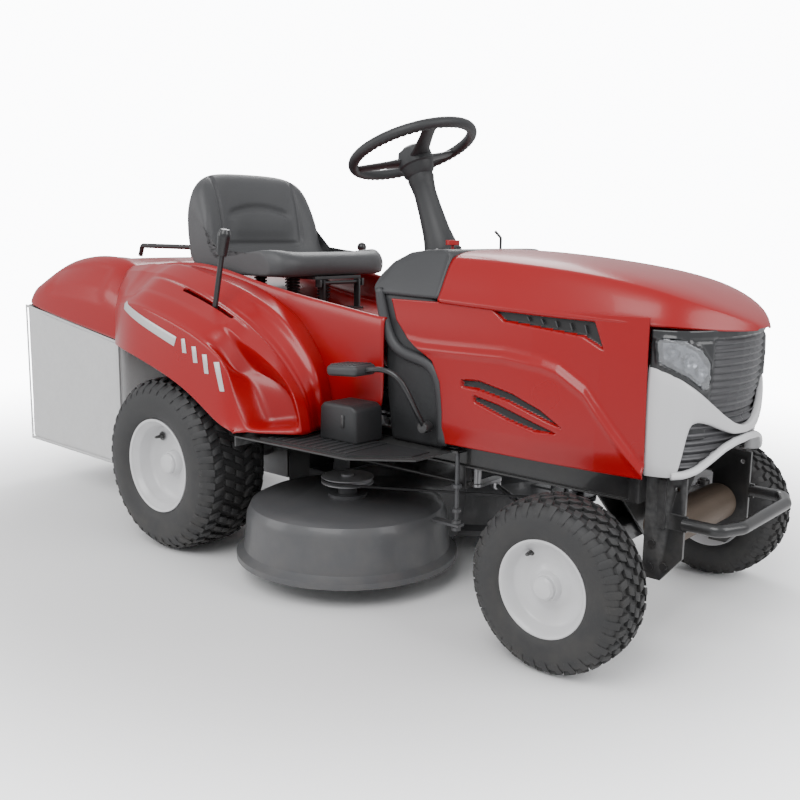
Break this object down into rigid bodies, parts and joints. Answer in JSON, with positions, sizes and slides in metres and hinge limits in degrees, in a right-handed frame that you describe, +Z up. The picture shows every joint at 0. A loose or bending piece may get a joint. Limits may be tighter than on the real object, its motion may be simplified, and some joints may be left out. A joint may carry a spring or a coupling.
{
  "type": "riding lawn mower",
  "caption": "Ride-on lawn tractor with a tilting engine hood, twin-blade cutting deck, rear discharge chute, tipping fabric grass bag, bucket seat and wheel steering.",
  "frame": {"origin": "on the ground under the middle of the machine's overall box", "axes": "+X forward, +Y to the driver's left, +Z up"},
  "size_m": [2.38, 1.078, 1.1198],
  "materials": {
    "red_paint": "gloss",
    "light_plastic": "satin",
    "dark_plastic": "grained",
    "black_steel": "satin powder coat",
    "deck_paint": "satin powder coat",
    "rim_paint": "silver paint",
    "tyre_rubber": "matte rubber",
    "bare_steel": "zinc plated",
    "cast_alloy": "cast",
    "seat_cover": "integral skin foam, soft matte",
    "belt_rubber": "matte",
    "bag_fabric": "woven",
    "red_knob": "gloss",
    "muffler_steel": "dull"
  },
  "bodies": {
    "chassis": {"frame_rail_left": "black_steel", "frame_rail_right": "black_steel", "frame_cross_members": "black_steel", "hitch_plate": "black_steel", "front_bracket_left": "black_steel", "front_bracket_right": "black_steel", "front_bumper": "black_steel", "steering_gearbox": "black_steel", "column_cover": "dark_plastic", "engine_block": "cast_alloy", "engine_shroud": "dark_plastic", "muffler": "muffler_steel", "transaxle": "cast_alloy", "discharge_chute": "dark_plastic", "fuel_tank_and_battery": "dark_plastic", "rear_fender": "red_paint", "footboard_left": "black_steel", "footboard_right": "black_steel", "dash_console": "dark_plastic", "seat_bracket": "black_steel", "drive_belt": "belt_rubber"},
    "hood": {"hood_shell": "red_paint", "front_fascia": "light_plastic", "grille": "dark_plastic"},
    "seat": {"seat": "seat_cover", "seat_pan": "black_steel"},
    "grass_bag": {"bag_cloth": "bag_fabric", "bag_lid": "red_paint", "bag_frame": "black_steel"},
    "steering_wheel": {"steering_wheel": "dark_plastic", "steering_shaft": "bare_steel"},
    "steering_arm": {"steering_arm": "bare_steel"},
    "axle_beam": {"front_axle_beam": "black_steel"},
    "knuckle_left": {"steering_knuckle_left": "bare_steel"},
    "knuckle_right": {"steering_knuckle_right": "bare_steel"},
    "tie_rod": {"tie_rod": "bare_steel"},
    "drag_link": {"drag_link": "bare_steel"},
    "front_wheel_left": {"front_rim_left": "rim_paint", "front_tyre_left": "tyre_rubber"},
    "front_wheel_right": {"front_rim_right": "rim_paint", "front_tyre_right": "tyre_rubber"},
    "rear_wheel_left": {"rear_rim_left": "rim_paint", "rear_tyre_left": "tyre_rubber"},
    "rear_wheel_right": {"rear_rim_right": "rim_paint", "rear_tyre_right": "tyre_rubber"},
    "deck": {"deck_shell": "deck_paint", "blade_belt": "belt_rubber"},
    "spindle_left": {"spindle_left": "bare_steel", "blade_left": "bare_steel"},
    "spindle_right": {"spindle_right": "bare_steel", "blade_right": "bare_steel"},
    "crank": {"crankshaft": "bare_steel"},
    "drive_pulley": {"drive_pulley": "bare_steel"},
    "lift_lever": {"lift_lever": "black_steel"},
    "lift_link": {"lift_link": "bare_steel"},
    "pedal_left": {"pedal_left": "black_steel"},
    "pedal_right": {"pedal_right": "black_steel"},
    "blade_switch": {"blade_switch_knob": "red_knob"},
    "throttle": {"throttle_lever": "black_steel"},
    "parking_brake": {"parking_brake_lever": "black_steel"}
  },
  "joints": [
    {"name": "steering_wheel_turn", "type": "hinge", "parent": "chassis", "child": "steering_wheel", "pos_m": [0.215, 0, 1.048], "axis": [-0.3746, 0, 0.9272], "range_deg": [-150, 150]},
    {"name": "steering_arm_swing", "type": "hinge", "parent": "chassis", "child": "steering_arm", "pos_m": [0.50503, -0.08, 0.3], "axis": [0, 0, 1], "range_deg": [-36, 36]},
    {"name": "axle_oscillation", "type": "hinge", "parent": "chassis", "child": "axle_beam", "pos_m": [0.92, 0, 0.22], "axis": [1, 0, 0], "range_deg": [-4, 4]},
    {"name": "knuckle_left_steer", "type": "hinge", "parent": "axle_beam", "child": "knuckle_left", "pos_m": [0.92, 0.29, 0.22], "axis": [0, 0, 1], "range_deg": [-36, 36]},
    {"name": "knuckle_right_steer", "type": "hinge", "parent": "axle_beam", "child": "knuckle_right", "pos_m": [0.92, -0.29, 0.22], "axis": [0, 0, 1], "range_deg": [-36, 36]},
    {"name": "tie_rod_pivot", "type": "hinge", "parent": "knuckle_left", "child": "tie_rod", "pos_m": [0.84, 0.29, 0.156], "axis": [0, 0, 1], "range_deg": [-36, 36]},
    {"name": "drag_link_pivot", "type": "hinge", "parent": "knuckle_right", "child": "drag_link", "pos_m": [0.92, -0.21, 0.168], "axis": [0, 0, 1], "range_deg": [-36, 36]},
    {"name": "front_wheel_left_spin", "type": "hinge", "parent": "knuckle_left", "child": "front_wheel_left", "pos_m": [0.92, 0.3775, 0.175], "axis": [0, 1, 0], "continuous": true},
    {"name": "rear_wheel_left_spin", "type": "hinge", "parent": "chassis", "child": "rear_wheel_left", "pos_m": [-0.23, 0.4, 0.23], "axis": [0, 1, 0], "continuous": true},
    {"name": "front_wheel_right_spin", "type": "hinge", "parent": "knuckle_right", "child": "front_wheel_right", "pos_m": [0.92, -0.3775, 0.175], "axis": [0, 1, 0], "continuous": true},
    {"name": "rear_wheel_right_spin", "type": "hinge", "parent": "chassis", "child": "rear_wheel_right", "pos_m": [-0.23, -0.4, 0.23], "axis": [0, 1, 0], "continuous": true},
    {"name": "deck_lift", "type": "slide", "parent": "chassis", "child": "deck", "axis": [0, 0, 1], "range_m": [0, 0.05209], "deforming": ["blade_belt"]},
    {"name": "lift_lever_swing", "type": "hinge", "parent": "chassis", "child": "lift_lever", "pos_m": [-0.015, 0, 0.385], "axis": [0, -1, 0], "range_deg": [0, 20.05]},
    {"name": "lift_link_slide", "type": "slide", "parent": "chassis", "child": "lift_link", "axis": [1, 0, 0], "range_m": [0, 0.0201]},
    {"name": "crank_turn", "type": "hinge", "parent": "chassis", "child": "crank", "pos_m": [0.73, 0, 0.4], "axis": [0, 0, 1], "continuous": true},
    {"name": "drive_pulley_turn", "type": "hinge", "parent": "chassis", "child": "drive_pulley", "pos_m": [-0.21, 0.145, 0.33], "axis": [0, 0, 1], "continuous": true},
    {"name": "spindle_left_spin", "type": "hinge", "parent": "deck", "child": "spindle_left", "pos_m": [0.244, 0.265, 0.2], "axis": [0, 0, 1], "continuous": true},
    {"name": "spindle_right_spin", "type": "hinge", "parent": "deck", "child": "spindle_right", "pos_m": [0.244, -0.265, 0.2], "axis": [0, 0, 1], "continuous": true},
    {"name": "hood_tilt", "type": "hinge", "parent": "chassis", "child": "hood", "pos_m": [1.062, 0, 0.346], "axis": [0, 1, 0], "range_deg": [0, 68]},
    {"name": "seat_tilt", "type": "hinge", "parent": "chassis", "child": "seat", "pos_m": [-0.044, 0, 0.7], "axis": [0, 1, 0], "range_deg": [0, 55]},
    {"name": "bag_tilt", "type": "hinge", "parent": "chassis", "child": "grass_bag", "pos_m": [-0.636, 0, 0.73], "axis": [0, 1, 0], "range_deg": [0, 75]},
    {"name": "pedal_left_press", "type": "hinge", "parent": "chassis", "child": "pedal_left", "pos_m": [0.482, 0.252, 0.402], "axis": [0, -1, 0], "range_deg": [0, 10], "stiffness_Nm_per_rad": 60, "springref_deg": -6.88},
    {"name": "pedal_right_press", "type": "hinge", "parent": "chassis", "child": "pedal_right", "pos_m": [0.482, -0.252, 0.402], "axis": [0, -1, 0], "range_deg": [0, 10], "stiffness_Nm_per_rad": 60, "springref_deg": -6.88},
    {"name": "blade_switch_pull", "type": "slide", "parent": "chassis", "child": "blade_switch", "axis": [0, 0, 1], "range_m": [0, 0.014]},
    {"name": "throttle_swing", "type": "hinge", "parent": "chassis", "child": "throttle", "pos_m": [0.42, 0.11, 0.77], "axis": [0, 1, 0], "range_deg": [-10, 18]},
    {"name": "parking_brake_swing", "type": "hinge", "parent": "chassis", "child": "parking_brake", "pos_m": [-0.292, 0, 0.56], "axis": [0, -1, 0], "range_deg": [0, 14]}
  ],
  "couplings": [
    {"joint": "steering_arm_swing", "follows": "steering_wheel_turn", "ratio": 0.235},
    {"joint": "knuckle_left_steer", "follows": "steering_wheel_turn", "ratio": 0.235},
    {"joint": "knuckle_right_steer", "follows": "steering_wheel_turn", "ratio": 0.235},
    {"joint": "tie_rod_pivot", "follows": "steering_wheel_turn", "ratio": -0.235},
    {"joint": "drag_link_pivot", "follows": "steering_wheel_turn", "ratio": -0.235},
    {"joint": "lift_lever_swing", "follows": "deck_lift", "rad_per_m": 6.7006},
    {"joint": "lift_link_slide", "follows": "deck_lift", "ratio": 0.38392},
    {"joint": "spindle_left_spin", "follows": "crank_turn", "ratio": 0.77966},
    {"joint": "spindle_right_spin", "follows": "crank_turn", "ratio": 0.77966},
    {"joint": "drive_pulley_turn", "follows": "crank_turn", "ratio": 1.9167}
  ]
}
